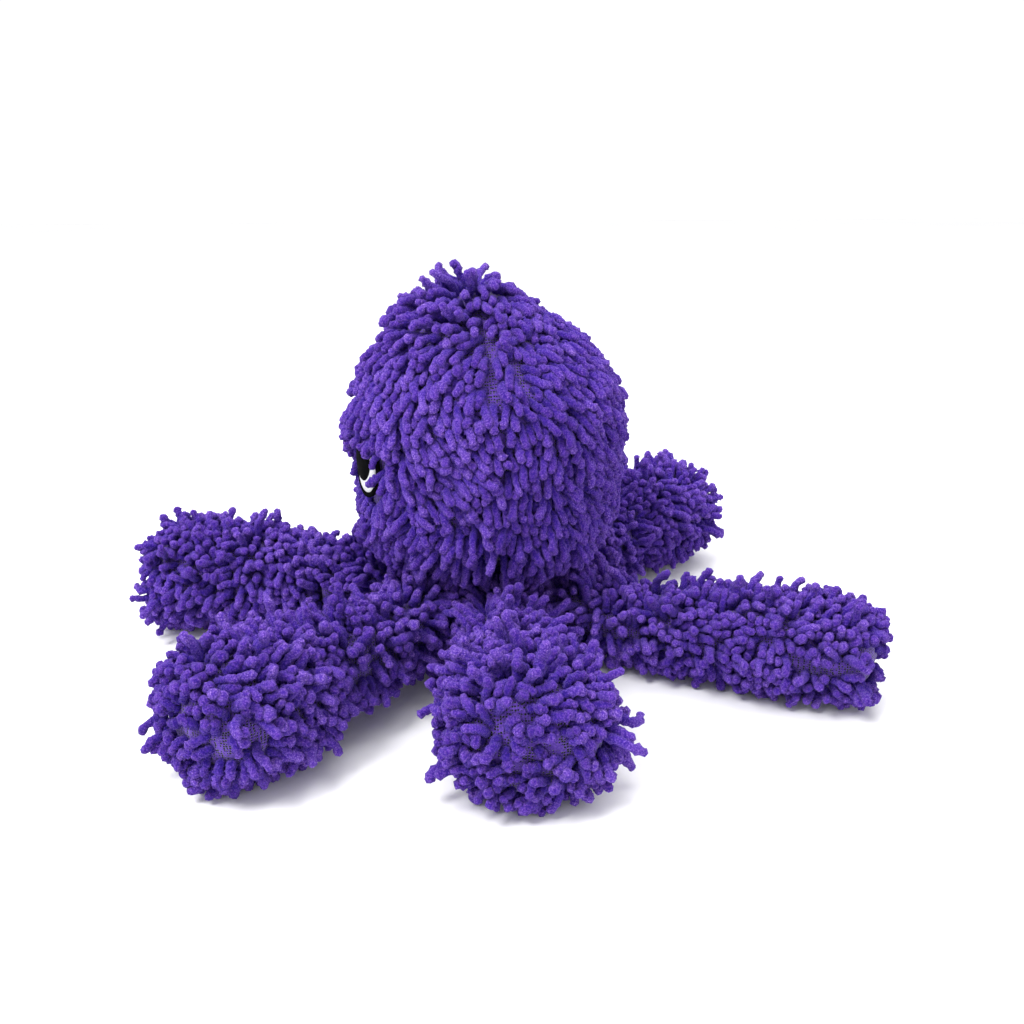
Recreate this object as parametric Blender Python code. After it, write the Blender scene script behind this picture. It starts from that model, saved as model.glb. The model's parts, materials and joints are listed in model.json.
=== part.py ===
"""Plush octopus: a stuffed head on a flat base panel, with six stuffed arms that lift and sway.

Metres, +Z up. The face looks along -Y and the octopus's left side is +X. The origin is the centre of
the base panel's underside. Every cover is a slab as thick as its knitted backing and pressed pile.
"""

import math

import bmesh
import bpy
from mathutils import Matrix, Vector

# Cover and seams
COVER = 0.0060  # backing and pressed pile
SEAM_GAP = 0.0003  # between two covers sewn edge to edge
FILL_GAP = 0.0005  # between a cover and the stuffing
AXIS_RADIUS = 1e-6  # a point nearer than this to its turning axis is a pole

# Head
BASE_RADIUS = 0.0300
BASE_EDGE = 0.0010
HEAD_HEIGHT = 0.1640
HEAD_PROFILE = [  # (height, radius) of the pile's outside, from the base panel to the crown
    (COVER + SEAM_GAP, BASE_RADIUS),
    (0.0440, BASE_RADIUS),
    (0.0480, 0.0410),
    (0.0530, 0.0495),
    (0.0600, 0.0540),
    (0.0720, 0.0560),
    (0.0980, 0.0585),
    (0.1110, 0.0575),
    (0.1230, 0.0530),
    (0.1340, 0.0445),
    (0.1440, 0.0345),
    (0.1530, 0.0225),
    (0.1600, 0.0115),
    (HEAD_HEIGHT, 0.0020),
]
LEAN_START = 0.1250  # above this height the crown leans towards the face
LEAN_AT_CROWN = 0.0090
GORES = {  # name: the direction of its middle, in degrees from +X
    "back_left": 45.0,
    "back_right": 135.0,
    "front_right": 225.0,
    "front_left": 315.0,
}
GORE_STEPS = 6

# Squeaker, in a pocket between the two halves of the head's stuffing
SQUEAKER_HEIGHT = 0.0980
SQUEAKER_RADIUS = 0.0170
SQUEAKER_WALL = 0.0014
SQUEAKER_NECK_RADIUS = 0.0052
SQUEAKER_NECK_LENGTH = 0.0040
REED_HOLE_RADIUS = 0.0012
REED_GAP = 0.0003
POCKET_RADIUS = 0.0240
TURNED_STEPS = 16

# Eyes: three stitched layers in a hollow of the pile
EYE_HEIGHT = 0.0885
EYE_TURN = 20.0  # degrees from the face's middle
EYE_SET_BACK = 0.0050  # depth of the hollow below the pile's outside
OUTLINE_RADIUS = 0.0122
WHITE_RADIUS = 0.0106
PUPIL_RADIUS = 0.0078
PUPIL_RAISE = 0.0020
PUPIL_INWARD = 0.0006
EYE_LAYER = 0.0008
EYE_STEPS = 20
EYE_HOLLOW_CLEARANCE = 0.0008

# Arms
ARMS = {  # name: (degrees from +X, reach, half width at the sway hinge and tip, thickness to width)
    "mid_left": (1.0, 0.1435, 0.0290, 0.0300, 0.83),
    "rear_left": (63.0, 0.1700, 0.0225, 0.0248, 0.84),
    "rear_right": (132.0, 0.1670, 0.0235, 0.0282, 0.94),
    "mid_right": (193.0, 0.1640, 0.0230, 0.0272, 0.92),
    "front_right": (254.0, 0.1600, 0.0245, 0.0272, 0.94),
    "front_left": (314.2, 0.1620, 0.0220, 0.0285, 0.92),
}
ROOT_REACH = 0.0500  # the lift hinge, from the centre
SWAY_REACH = 0.0960  # the sway hinge, from the centre
ROOT_HALF_WIDTH = 0.0190
TIP_ROUNDING = 0.0180
TIP_BLUNTNESS = 2.6  # exponent of the tip's outline; 2 is a round tip
HALF_STEPS = 8
DOME_STEPS = 3
CUP_GAP = 0.0008  # between the outer arm's ball end and the inner arm's cup
RIM_BACK = 0.617  # from the sway hinge back to the inner arm's rim, to the half width there
RIM_SLANT = 0.150

PURPLE = (88, 58, 160)
BLACK = (18, 17, 20)
WHITE = (236, 236, 238)
FIBRE = (232, 230, 224)
VINYL = (226, 224, 214)


def clear_scene():
    for thing in list(bpy.data.objects):
        bpy.data.objects.remove(thing, do_unlink=True)


def linear(channel):
    value = channel / 255
    return value / 12.92 if value <= 0.04045 else ((value + 0.055) / 1.055) ** 2.4


def material(name, colour, roughness, sheen=0.0):
    made = bpy.data.materials.new(name)
    made.use_nodes = True
    shader = made.node_tree.nodes["Principled BSDF"]
    shader.inputs["Base Color"].default_value = (*[linear(channel) for channel in colour], 1.0)
    shader.inputs["Roughness"].default_value = roughness
    shader.inputs["Metallic"].default_value = 0.0
    shader.inputs["Sheen Weight"].default_value = sheen
    return made


def pile_material(name):
    return material(name, PURPLE, roughness=0.95, sheen=0.3)


def black_thread(name):
    return material(name, BLACK, roughness=0.75)


def white_thread(name):
    return material(name, WHITE, roughness=0.70)


def fibre_material(name):
    return material(name, FIBRE, roughness=1.0)


def vinyl_material(name):
    return material(name, VINYL, roughness=0.45)


def add_object(name, bm, make_material, place=None, smooth=True):
    mesh = bpy.data.meshes.new(name)
    bmesh.ops.recalc_face_normals(bm, faces=bm.faces)
    bm.to_mesh(mesh)
    bm.free()
    if smooth:
        mesh.shade_smooth()
        mesh.set_sharp_from_angle(angle=math.radians(40))
    thing = bpy.data.objects.new(name, mesh)
    thing.data.materials.append(make_material(name + "_material"))
    bpy.context.scene.collection.objects.link(thing)
    if place is not None:
        thing.matrix_world = place
    return thing


def turned(outline, start, sweep, steps):
    """A closed body: the outline's (height, radius) points turned about Z by sweep degrees.

    A full turn takes an outline from pole to pole, or a ring; a part turn gets a face at each end.
    """
    bm = bmesh.new()
    full = sweep >= 360.0
    rings = []
    for step in range(steps if full else steps + 1):
        angle = math.radians(start + sweep * step / steps)
        ring = []
        for index, (height, radius) in enumerate(outline):
            if radius < AXIS_RADIUS and rings:
                ring.append(rings[0][index])
            else:
                point = (radius * math.cos(angle), radius * math.sin(angle), height)
                ring.append(bm.verts.new(point))
        rings.append(ring)
    pairs = list(zip(rings, rings[1:]))
    if full:
        pairs.append((rings[-1], rings[0]))
    count = len(outline)
    for ring, following in pairs:
        for index in range(count):
            after = (index + 1) % count
            corners = [ring[index], ring[after], following[after], following[index]]
            corners = list(dict.fromkeys(corners))
            if len(corners) >= 3:
                bm.faces.new(corners)
    if not full:
        bm.faces.new(rings[0])
        bm.faces.new(rings[-1])
    return bm


def turned_slab(outside, inside, start, sweep, steps):
    """A part turn between two profiles of as many points, whose end faces are a strip of quads."""
    bm = turned(outside + inside[::-1], start, sweep, steps)
    ends = [face for face in bm.faces if len(face.verts) > 4]
    for end in ends:
        ring = list(end.verts)
        bmesh.ops.delete(bm, geom=[end], context="FACES_ONLY")
        for index in range(len(outside) - 1):
            across = len(ring) - 1 - index
            bm.faces.new([ring[index], ring[index + 1], ring[across - 1], ring[across]])
    return bm


def inset(profile, distance):
    """The (height, radius) profile moved to the inside by distance, on its mitred normals."""
    moved = []
    last = len(profile) - 1
    for index, (height, radius) in enumerate(profile):
        normals = []
        for first in (index - 1, index):
            if 0 <= first < last:
                rise = profile[first + 1][0] - profile[first][0]
                run = profile[first + 1][1] - profile[first][1]
                length = math.hypot(rise, run)
                normals.append(Vector((-run / length, rise / length)))
        normal = sum(normals, Vector((0.0, 0.0)))
        normal.normalize()
        reach = distance / normal.dot(normals[0])
        moved.append((height - normal.x * reach, max(radius - normal.y * reach, 0.0)))
    return moved


def lean(bm):
    """Bend the head's crown towards the face."""
    for vert in bm.verts:
        above = max(vert.co.z - LEAN_START, 0.0) / (HEAD_HEIGHT - LEAN_START)
        vert.co.y -= LEAN_AT_CROWN * above * above


def head_inside(distance):
    """The head's profile at a depth below the pile, with its lower end cut level."""
    inner = inset(HEAD_PROFILE, distance)
    bottom = HEAD_PROFILE[0][0]
    inner[0] = (bottom, BASE_RADIUS - distance)
    return inner


def eye_frame(side):
    """The eye's place on the pile's outside: its own X is level, Y up the head and Z outwards."""
    direction = math.radians(-90.0 + side * EYE_TURN)
    outwards = Vector((math.cos(direction), math.sin(direction), 0.0))
    level = Vector((0.0, 0.0, 1.0)).cross(outwards)
    radius = radius_at(EYE_HEIGHT)
    place = Matrix.Translation(outwards * radius + Vector((0.0, 0.0, EYE_HEIGHT)))
    turn = Matrix((level, Vector((0.0, 0.0, 1.0)), outwards)).transposed().to_4x4()
    return place @ turn


def radius_at(height):
    """The head's outside radius at a height."""
    for (low, start), (high, end) in zip(HEAD_PROFILE, HEAD_PROFILE[1:]):
        if low <= height <= high:
            return start + (end - start) * (height - low) / (high - low)
    return 0.0


def cylinder(radius, depth, steps):
    bm = bmesh.new()
    bmesh.ops.create_cone(
        bm, cap_ends=True, segments=steps, radius1=radius, radius2=radius, depth=depth
    )
    return bm


def eye_cutter(side, name):
    """The tool that hollows the pile around one eye."""
    depth = 2 * EYE_SET_BACK
    bm = cylinder(OUTLINE_RADIUS + EYE_HOLLOW_CLEARANCE, depth, EYE_STEPS)
    tool = add_object(name, bm, black_thread, eye_frame(side), smooth=False)
    tool.hide_render = True
    tool.display_type = "WIRE"
    return tool


def head_covers():
    inside = head_inside(COVER)
    for name, middle in GORES.items():
        bm = turned_slab(HEAD_PROFILE, inside, middle - 45.0, 90.0, GORE_STEPS)
        lean(bm)
        outwards = Vector((math.cos(math.radians(middle)), math.sin(math.radians(middle)), 0.0))
        bmesh.ops.translate(bm, verts=bm.verts, vec=outwards * SEAM_GAP)
        cover = add_object("head_cover_" + name, bm, pile_material)
        if name.startswith("front"):
            side = 1 if name.endswith("left") else -1
            cut = cover.modifiers.new("eye_hollow", "BOOLEAN")
            cut.operation = "DIFFERENCE"
            cut.solver = "EXACT"
            cut.object = eye_cutter(side, "eye_hollow_tool_" + name)


def head_stuffing():
    """Two halves, left and right, with a round pocket for the squeaker between them."""
    outside = head_inside(COVER + FILL_GAP)
    bottom = outside[0][0] + FILL_GAP
    top = outside[-1][0]
    outside[0] = (bottom, outside[0][1])
    outline = [(bottom, 0.0)] + outside + [(top, 0.0)]
    pocket = []
    for step in range(7):
        angle = math.radians(90.0 - 30.0 * step)
        height = SQUEAKER_HEIGHT + POCKET_RADIUS * math.sin(angle)
        pocket.append((height, max(POCKET_RADIUS * math.cos(angle), 0.0)))
    outline = outline + pocket
    for name, start, side in (("left", -90.0, 1.0), ("right", 90.0, -1.0)):
        bm = turned(outline, start, 180.0, 2 * GORE_STEPS)
        lean(bm)
        bmesh.ops.translate(bm, verts=bm.verts, vec=(side * SEAM_GAP / 2, 0.0, 0.0))
        add_object("head_stuffing_" + name, bm, fibre_material)


def base_panel():
    """A disc with a turned-in lower edge; its two faces are one flat polygon each."""
    bm = bmesh.new()
    steps = 2 * TURNED_STEPS
    rings = []
    for height, radius in ((0.0, BASE_RADIUS - BASE_EDGE), (BASE_EDGE, BASE_RADIUS), (COVER, BASE_RADIUS)):
        turns = [2 * math.pi * step / steps for step in range(steps)]
        ring = [bm.verts.new((radius * math.cos(turn), radius * math.sin(turn), height)) for turn in turns]
        rings.append(ring)
    for ring, above in zip(rings, rings[1:]):
        for index in range(steps):
            after = (index + 1) % steps
            bm.faces.new([ring[index], ring[after], above[after], above[index]])
    bm.faces.new(rings[0])
    bm.faces.new(rings[-1])
    add_object("base_panel", bm, pile_material)


def squeaker():
    """A hollow vinyl bulb, open at its neck, and the reed that plugs the neck."""
    ring_angles = [-90.0 + 25.0 * step for step in range(7)]

    def ball(radius):
        points = []
        for angle in ring_angles:
            turn = math.radians(angle)
            points.append((radius * math.sin(turn), max(radius * math.cos(turn), 0.0)))
        return points

    neck_top = SQUEAKER_RADIUS + SQUEAKER_NECK_LENGTH
    inner_neck = SQUEAKER_NECK_RADIUS - SQUEAKER_WALL
    outside = ball(SQUEAKER_RADIUS) + [(neck_top, SQUEAKER_NECK_RADIUS)]
    inside = [(neck_top, inner_neck)] + ball(SQUEAKER_RADIUS - SQUEAKER_WALL)[::-1]
    place = Matrix.Translation((0.0, 0.0, SQUEAKER_HEIGHT))
    bulb = turned(outside + inside, 0.0, 360.0, TURNED_STEPS)
    add_object("squeaker_bulb", bulb, vinyl_material, place)

    plug_radius = inner_neck - REED_GAP
    low = neck_top - SQUEAKER_NECK_LENGTH
    reed = [
        (low, plug_radius * 0.8),
        (low, REED_HOLE_RADIUS),
        (neck_top, REED_HOLE_RADIUS),
        (neck_top, plug_radius),
        (low + 0.001, plug_radius),
    ]
    add_object("squeaker_reed", turned(reed, 0.0, 360.0, TURNED_STEPS), vinyl_material, place)


def eyes():
    for side, name in ((1, "left"), (-1, "right")):
        frame = eye_frame(side)
        depth = -EYE_SET_BACK + SEAM_GAP + EYE_LAYER / 2
        layers = (
            ("outline", OUTLINE_RADIUS, Vector((0.0, 0.0)), black_thread),
            ("white", WHITE_RADIUS, Vector((0.0, 0.0)), white_thread),
            ("pupil", PUPIL_RADIUS, Vector((-side * PUPIL_INWARD, PUPIL_RAISE)), black_thread),
        )
        for layer, radius, shift, make_material in layers:
            place = frame @ Matrix.Translation((shift.x, shift.y, depth))
            bm = cylinder(radius, EYE_LAYER, EYE_STEPS)
            add_object(f"eye_{name}_{layer}", bm, make_material, place)
            depth += EYE_LAYER + SEAM_GAP


def dome(length, radius):
    """From the pole back to the widest ring, which is left out."""
    points = []
    for step in range(DOME_STEPS):
        angle = math.radians(90.0 * step / DOME_STEPS)
        points.append((-length * math.cos(angle), radius * math.sin(angle)))
    points[0] = (-length, 0.0)
    return points


def blunt_tip(end, radius):
    """From the widest ring to the pole at the arm's end."""
    points = []
    for angle in (0.0, 35.0, 62.0, 90.0):
        turn = math.radians(angle)
        out = math.sin(turn) ** (2 / TIP_BLUNTNESS)
        across = max(math.cos(turn), 0.0) ** (2 / TIP_BLUNTNESS)
        points.append((end - TIP_ROUNDING + TIP_ROUNDING * out, radius * across))
    points[-1] = (end, 0.0)
    return points


def inner_arm_profile(sway_width, flatten):
    """Outside of the inner arm from its round root to its rim, along the arm from the lift hinge."""
    length = SWAY_REACH - ROOT_REACH
    rim = length - RIM_BACK * sway_width
    rim_width = ROOT_HALF_WIDTH + (sway_width - ROOT_HALF_WIDTH) * rim / length
    points = dome(ROOT_HALF_WIDTH * flatten, ROOT_HALF_WIDTH)
    return points + [(0.0, ROOT_HALF_WIDTH), (rim, rim_width)]


def outer_arm_profile(reach, sway_width, tip_width):
    """Outside of the outer arm from its ball end to its blunt tip, along the arm from the sway hinge."""
    points = dome(sway_width, sway_width)
    return points + [(0.0, sway_width)] + blunt_tip(reach - SWAY_REACH, tip_width)


def pole_to_pole(profile, distance):
    """An inset that keeps its two ends on the arm's axis."""
    moved = inset(profile, distance)
    moved[0] = (profile[0][0] + distance, 0.0)
    moved[-1] = (profile[-1][0] - distance, 0.0)
    return moved


def pole_to_rim(profile, distance, slant):
    """An inset of the inner arm, whose rim slants back so that the outer arm's ball clears it."""
    moved = inset(profile, distance)
    moved[0] = (profile[0][0] + distance, 0.0)
    moved[-1] = (profile[-1][0] - slant, moved[-1][1])
    return moved


def cup(width, sway_width):
    """The hollow end of the inner arm's stuffing, from its rim to its middle."""
    length = SWAY_REACH - ROOT_REACH
    radius = sway_width + CUP_GAP
    points = []
    for share in (1.0, 0.66, 0.33, 0.0):
        across = width * share
        points.append((length - math.sqrt(radius * radius - across * across), across))
    return points


def lay_along_x(bm, flatten, raise_by):
    """Turn a body made about Z to lie along +X, flattened, and raise it to its side of the seam."""
    bmesh.ops.transform(bm, matrix=Matrix.Rotation(math.radians(90.0), 4, "Y"), verts=bm.verts)
    for vert in bm.verts:
        vert.co.z = vert.co.z * flatten + raise_by
    return bm


def arm_piece(name, outline, flatten, place):
    """The two covers of one stretch of arm: the top one and the underside one."""
    for part, start, raise_by in (("top", 90.0, SEAM_GAP), ("under", -90.0, 0.0)):
        bm = lay_along_x(turned(outline, start, 180.0, HALF_STEPS), flatten, raise_by)
        add_object(f"{name}_{part}", bm, pile_material, place)


def arm_fill(name, outline, flatten, place):
    bm = lay_along_x(turned(outline, 90.0, 360.0, 2 * HALF_STEPS), flatten, SEAM_GAP / 2)
    add_object(name + "_stuffing", bm, fibre_material, place)


def arm(name, direction, reach, sway_width, tip_width, flatten):
    """One arm: the inner stretch turns on the lift hinge and the outer one on the sway hinge.

    Its centre line is level, and as high as half its thickness at the tip, which lies on the floor.
    """
    turn = Matrix.Rotation(math.radians(direction), 4, "Z")
    height = tip_width * flatten
    root = turn @ Matrix.Translation((ROOT_REACH, 0.0, height))
    sway = turn @ Matrix.Translation((SWAY_REACH, 0.0, height))

    slant = RIM_SLANT * sway_width
    profile = inner_arm_profile(sway_width, flatten)
    arm_piece(f"arm_{name}_inner", profile + pole_to_rim(profile, COVER, slant)[::-1], flatten, root)
    inside = pole_to_rim(profile, COVER + FILL_GAP, slant)
    arm_fill(f"arm_{name}_inner", inside[:-1] + cup(inside[-1][1], sway_width), flatten, root)

    profile = outer_arm_profile(reach, sway_width, tip_width)
    arm_piece(f"arm_{name}_outer", profile + pole_to_pole(profile, COVER)[::-1], flatten, sway)
    arm_fill(f"arm_{name}_outer", pole_to_pole(profile, COVER + FILL_GAP), flatten, sway)


def main():
    clear_scene()
    base_panel()
    head_covers()
    head_stuffing()
    squeaker()
    eyes()
    for name, shape in ARMS.items():
        arm(name, *shape)


main()
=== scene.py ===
"""Looks of the plush octopus: stuffed skins, a pile of chenille noodles, embroidered eyes, studio."""

import json
import math

import bmesh
import bpy
import numpy as np
from mathutils import Matrix, Vector
from mathutils.bvhtree import BVHTree


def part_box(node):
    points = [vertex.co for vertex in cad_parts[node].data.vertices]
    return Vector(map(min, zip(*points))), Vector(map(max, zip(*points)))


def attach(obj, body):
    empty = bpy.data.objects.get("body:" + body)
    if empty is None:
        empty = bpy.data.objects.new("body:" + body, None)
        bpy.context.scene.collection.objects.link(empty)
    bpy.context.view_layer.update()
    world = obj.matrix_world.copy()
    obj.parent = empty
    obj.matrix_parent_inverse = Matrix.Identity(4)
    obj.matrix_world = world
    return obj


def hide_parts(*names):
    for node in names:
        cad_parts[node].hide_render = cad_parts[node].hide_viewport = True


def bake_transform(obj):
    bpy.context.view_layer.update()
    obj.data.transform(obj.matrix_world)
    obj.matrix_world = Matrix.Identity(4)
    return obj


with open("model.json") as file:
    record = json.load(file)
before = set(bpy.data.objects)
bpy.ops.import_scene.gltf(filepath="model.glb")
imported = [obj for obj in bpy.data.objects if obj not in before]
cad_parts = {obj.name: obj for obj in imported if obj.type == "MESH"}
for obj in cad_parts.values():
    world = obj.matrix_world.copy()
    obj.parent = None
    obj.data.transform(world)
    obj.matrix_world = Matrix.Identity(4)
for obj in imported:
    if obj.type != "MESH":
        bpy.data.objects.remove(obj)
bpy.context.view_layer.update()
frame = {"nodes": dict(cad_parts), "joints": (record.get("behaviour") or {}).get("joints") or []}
RANDOM = np.random.default_rng(20)

ARM_NAMES = ["mid_left", "rear_left", "rear_right", "mid_right", "front_right", "front_left"]
GORE_NAMES = ["front_left", "back_left", "back_right", "front_right"]

# Camera and studio
VIEW_AZIMUTH = 82.7
VIEW_ELEVATION = 18.7
VIEW_DISTANCE = 0.431
VIEW_LENS = 35.4
AIM_RIGHT = 0.0107
AIM_HEIGHT = 0.0612
SKY_STRENGTH = 1.05
LIGHTS = [  # name, place, aim, size and power
    ("key_light", (0.55, -0.75, 1.25), (0.0, 0.0, 0.06), 0.6, 20.0),
    ("top_light", (0.0, 0.15, 1.4), (0.0, 0.0, 0.06), 1.0, 8.0),
    ("rim_light", (-0.9, 0.7, 0.9), (0.0, 0.0, 0.08), 0.8, 5.0),
]

# Turned shapes
DENSE_STEP = 0.0015
LEAST_SLOPE = 0.25  # keeps a push near a pole from being too short
HEAD_PILE = 0.0064  # depth of the knitted backing below the CAD cover's outside
ARM_PILE = 0.0072
ROOT_PILE = 0.0078
PLUMPER_TIP = {"mid_left": 0.0014}
SHORTER_TIP = {"mid_left": 0.0028, "rear_left": 0.0010, "front_left": 0.0016}
BAND = 0.002  # half width of the band in which an arm's breadth is read
ROOT_STEPS = [(0.026, 0.0), (0.024, 0.6), (0.016, 1.0), (0.0, 1.0)]  # behind the root, share of radius
TIP_STEPS = [(0.030, 0.99), (0.015, 1.0)]  # before the end, share of radius
TIP_ROUNDING = 0.015
TIP_SQUARENESS = 2.5
TIP_RINGS = 5
HEAD_LEVELS = 46
HEAD_FIRST_LEVEL = 0.008
HEAD_LAST_LEVEL = 0.0012  # below the top of the cover
HEAD_BOTTOM = 0.004
LOOK_FROM = 0.2
LOOK_BESIDE_SEAM = 0.06  # in radians, so that no ray slips through a seam
CROWN_RADIUS = 0.003
CROWN_RISE = 0.0015
BASE_SIDES = [(0.05, 0.70), (0.13, 0.91), (0.42, 0.985), (0.75, 0.965), (0.97, 0.86)]  # shares: up, out
BASE_CROWN = 1.01
ABOVE_BASE = 0.0001

# Rows of noodles
NOODLE_RADIUS = 0.00168
NOODLE_LENGTH = 0.0126
NOODLE_SPREAD = 0.14  # relative spread of length
ARM_NOODLE_LENGTH = 0.0106
ROW_SPACING = 0.0043
ARM_ROW_SPACING = 0.0037
SIDE_BY_SIDE = 1.04  # spacing within a row, in row spacings
SCATTER = 0.14  # of the roots, in spacings
ROOT_CLEAR = 0.0015  # no roots this near to another form
SHADE_SPREAD = 0.25  # from noodle to noodle
PATCH_SPREAD = 0.2
PATCH_SIZE = 0.05

# First bends of a noodle
BEADS = 5
NOODLE_CURL = 0.75
NOODLE_KINK = 0.24
CURL_START = 0.35
CURL_GROWTH = 1.5
LEAN_AT_ROOT = 0.55
LEAN_GROWTH = 0.45

# Settling of the pile
SETTLE_ROUNDS = 30
ROUNDS_PER_SEARCH = 4
SEARCH_MARGIN = 0.0016
SQUEEZE = 0.93  # distance of two pressed noodles, in thicknesses
PUSH_SHARE = 0.45
LONGEST_MOVE = 0.0012
ROOT_WEIGHT = 0.35  # how easily a noodle's root end moves, where its tip has 1
STIFFNESS = 0.10
SKIN_MARGIN = 0.75  # in noodle radii, like the two below
FLOOR_MARGIN = 1.08
FLOOR_MARGIN_AFTER = 1.04

# Form of a noodle
SIDES = 8
RINGS = 12
ANY_DIRECTION = (0.31, 0.17, 0.93)
THICKNESS_SPREAD = 0.06
LUMP_LENGTH = 0.0031
LUMP_HEIGHT = 0.10
RING_SPREAD = 0.09
ROUGHNESS = 0.12
TWIST = 0.35
ROOT_NARROWING = 0.72
TIP_NARROWING = 0.84
ROOT_BULGE = 0.3
TIP_BULGE = 0.62
ABOVE_FLOOR = 0.0002
MAP_CAP = 0.08
MAP_MARGIN = 0.04

# Combing of the head's pile; each table gives values at heights, as shares, or at places along Y
SEAM_CLEAR = 0.0014  # half width of the parting at a seam
CROWN_CLOSED = 0.016  # the partings end this far from the axis
HEAD_LOWEST_ROOT = 0.009
TANGLE = ([-0.050, -0.022, -0.005, 0.015, 0.035], [0.40, 0.65, 1.05, 0.85, 0.40])
HEAD_FLOW = 0.045
HEAD_STIR = 0.42
SWEEP = ([-0.050, -0.020, 0.0, 0.030], [0.35, 0.75, 0.2, 0.7])
SWEEP_HEIGHT = ([0.35, 0.55], [0.0, 1.0])
LOW_SWEEP = 0.5
HEAD_TILT = ([0.0, 0.30, 0.5, 1.0], [0.60, 0.85, 1.38, 1.42])
HEAD_TILT_SPREAD = 0.18
HEAD_TILTS = (0.15, 1.50)  # least and greatest
HEAD_LENGTHS = (0.7, 1.3)
HEAD_STRAYS = 0.10
HEAD_DROOP = 0.55
TUFT_HEIGHT = ([0.83, 0.93], [0.0, 1.0])
TUFT_BACK = ([-0.010, 0.006], [1.0, 0.0])
TUFT_SWEEP = 1.4
TUFT_TILT = 0.40
TUFT_LONGER = 0.15
HANG_HEIGHT = ([0.30, 0.42], [1.0, 0.0])
HANG_LONGER = 0.25
HANG_DROOP = 0.9

# Combing of an arm's pile
ARM_PARTING = [0.0006, 0.0021]  # half width at the side seams, before the tip and at it
PARTING_WIDENS = (0.045, 0.010)  # before the end
ARM_FLOW = 0.034
ARM_FLOW_PULL = 1.3
ARM_STIR = 0.55
ARM_OUTWARD = 0.35
ARM_TILT = (0.95, 0.32)  # mean and spread
ARM_TILTS = (0.05, 1.52)
ARM_TILTS_AT_ROOT = (0.05, 1.45)
ARM_LENGTHS = (0.65, 1.3)
ARM_DROOP = 0.22
ARM_STRAYS = 0.12
ARM_STRAY_TILT = 0.45
ARM_STRAY_LONGER = 1.40
UNDERSIDE = 0.6  # roots lower than this share of the arm's height lie underneath
TIP_FACE = 0.7
TIP_TURN = ([0.55, 0.90], [0.0, 1.0])
TIP_THINNING = 0.28
TIP_FLATTER = 0.55
TIP_SHORTER = 0.15
ROOT_STRETCH = ([-0.005, 0.015], [1.0, 0.0])
ROOT_LONGER = 0.2
ROOT_UPRIGHT = 0.45

# Pile around an eye
EYE_OVERHANG = 0.0022  # the pile lies this far over the eye's border
EYE_BARE_EDGE = 0.0008
EYE_NEAR_SIDE = 0.02
EYE_DEPTH = 0.012
EYE_LONGEST_MOVE = 0.002
EYE_PUSH = 0.6
EYE_COMB_WIDTH = 0.010
EYE_PARTING = 0.7
EYE_COMB_LOSS = 0.6
CROSSING_NEAR = 0.10
CROSSING_OUTWARD = 0.002
CROSSING_LOWEST = -0.006
CROSSING_SHARE = 0.9
CROSSING_SWEEP = 1.3
STRAY_HEIGHT = 0.0045
STRAY_PUSH = 0.5

# Embroidery of an eye
EYE_BEND = 1 / (2 * 0.052)  # from the head's radius there
BORDER_INSET = 0.0009
BORDER_SIZE = (0.0021, 0.0018)  # width and height
BORDER_SIDES = 10
STITCHES = 150
STITCH_RIDGE = 0.09
STITCH_WAVE = 0.03
WHITE_FORM = (0.0004, 0.0010, 0.0002)  # thickness, dome and height above the border's foot
PUPIL_FORM = (0.0005, 0.0008, 0.0011)
DISC_RINGS = 14
DISC_SEGMENTS = 64
DISC_FOOT = 0.97
DISC_SINK = 0.0006

# Skins
SKIN_STEP = 0.0035
SKIN_SEGMENTS = 40
SKIN_THINNEST = 0.0005
SKIN_BULGE = 0.001
SKIN_LAP = 0.003


def unit(vectors):
    return vectors / np.maximum(np.linalg.norm(vectors, axis=-1, keepdims=True), 1e-12)


def world_points(name):
    mesh = frame["nodes"][name].data
    points = np.zeros(len(mesh.vertices) * 3, np.float32)
    mesh.vertices.foreach_get("co", points)
    return points.reshape(-1, 3).astype(float)


# ---------------------------------------------------------------- shapes read from the frame


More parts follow.
